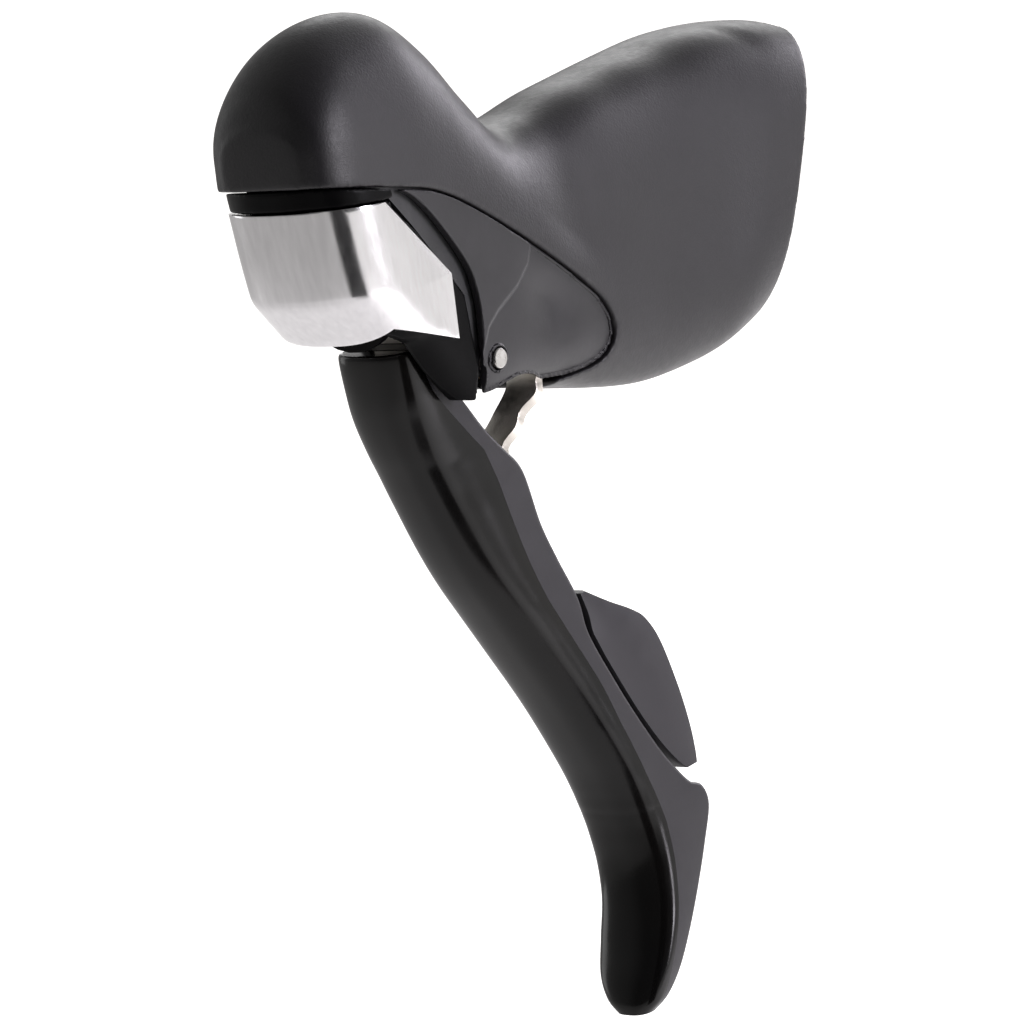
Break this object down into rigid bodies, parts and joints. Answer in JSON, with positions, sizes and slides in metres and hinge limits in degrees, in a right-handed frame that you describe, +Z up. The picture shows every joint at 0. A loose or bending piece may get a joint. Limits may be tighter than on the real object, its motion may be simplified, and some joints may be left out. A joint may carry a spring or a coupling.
{
  "type": "brake shift lever",
  "caption": "Left-hand drop-bar brake and shift lever: rubber hood with a tall front horn, silver front plate, glossy curved blade and a nested release paddle.",
  "frame": {"origin": "on the handlebar's axis at the middle of the clamp band", "axes": "+Z up; -Y forward, towards the lever's nose; +X to the rider's left, the outer side of this left-hand lever"},
  "size_m": [0.0377, 0.1291, 0.1797],
  "materials": {
    "hood_rubber": "matte moulded rubber with a fine grain",
    "bracket_composite": "matte glass-filled plastic",
    "gloss_black": "glossy black lacquer",
    "satin_silver": "satin silver metal",
    "matte_grey": "fine matte grey metallic paint",
    "steel": "plain steel"
  },
  "bodies": {
    "bracket": {"bracket_body": "bracket_composite", "front_trim": "bracket_composite", "side_cover_left": "bracket_composite", "side_cover_right": "bracket_composite", "hood": "hood_rubber", "lever_pin": "steel", "clamp_band": "steel", "clamp_bolt": "steel", "clamp_washer": "steel", "brake_cable_seat": "steel", "shift_cable_seat": "steel", "reach_screw": "steel", "brake_return_spring": "steel"},
    "brake_lever": {"lever_carrier": "gloss_black", "unit_housing": "gloss_black", "name_plate": "satin_silver", "bush_left": "steel", "bush_right": "steel", "plate_screw": "steel", "shift_axle": "steel", "axle_nut": "steel", "axle_spacer": "steel", "position_plate": "steel", "pawl_post": "steel"},
    "shift_lever": {"blade_face": "gloss_black", "blade_core": "matte_grey", "main_lever_plate": "steel", "blade_rivet_upper": "steel", "blade_rivet_lower": "steel", "main_lever_spring": "steel", "winding_pawl": "steel"},
    "release_lever": {"release_plate": "steel", "release_paddle": "matte_grey", "release_spring": "steel"},
    "winding_drum": {"ratchet_wheel": "steel", "cable_drum": "steel"},
    "holding_pawl": {"holding_pawl": "steel"},
    "cable_hook": {"cable_hook": "steel"}
  },
  "joints": [
    {"name": "brake_pull", "type": "hinge", "parent": "bracket", "child": "brake_lever", "pos_m": [0, -0.07874, -0.00895], "axis": [1, 0, 0], "range_deg": [0, 25], "stiffness_Nm_per_rad": 0.4, "springref_deg": -11.46},
    {"name": "lever_swing", "type": "hinge", "parent": "brake_lever", "child": "shift_lever", "pos_m": [0, -0.08574, 0.00905], "axis": [0, 1, 0], "range_deg": [0, 15], "stiffness_Nm_per_rad": 0.25, "springref_deg": -5.73},
    {"name": "release_swing", "type": "hinge", "parent": "shift_lever", "child": "release_lever", "pos_m": [0, -0.06574, 0.00905], "axis": [0, 1, 0], "range_deg": [0, 9], "stiffness_Nm_per_rad": 0.15, "springref_deg": -5.73},
    {"name": "drum_index", "type": "hinge", "parent": "brake_lever", "child": "winding_drum", "pos_m": [0, -0.09174, 0.00905], "axis": [0, 1, 0], "range_deg": [0, 54]},
    {"name": "pawl_lift", "type": "hinge", "parent": "brake_lever", "child": "holding_pawl", "pos_m": [-0.0082, -0.08824, 0.01885], "axis": [0, 1, 0], "range_deg": [0, 9]},
    {"name": "hook_swivel", "type": "hinge", "parent": "brake_lever", "child": "cable_hook", "pos_m": [0, -0.08014, 0.01885], "axis": [1, 0, 0], "range_deg": [-25, 0]}
  ],
  "couplings": [
    {"joint": "pawl_lift", "follows": "release_swing", "ratio": 1},
    {"joint": "hook_swivel", "follows": "brake_pull", "ratio": -1}
  ]
}
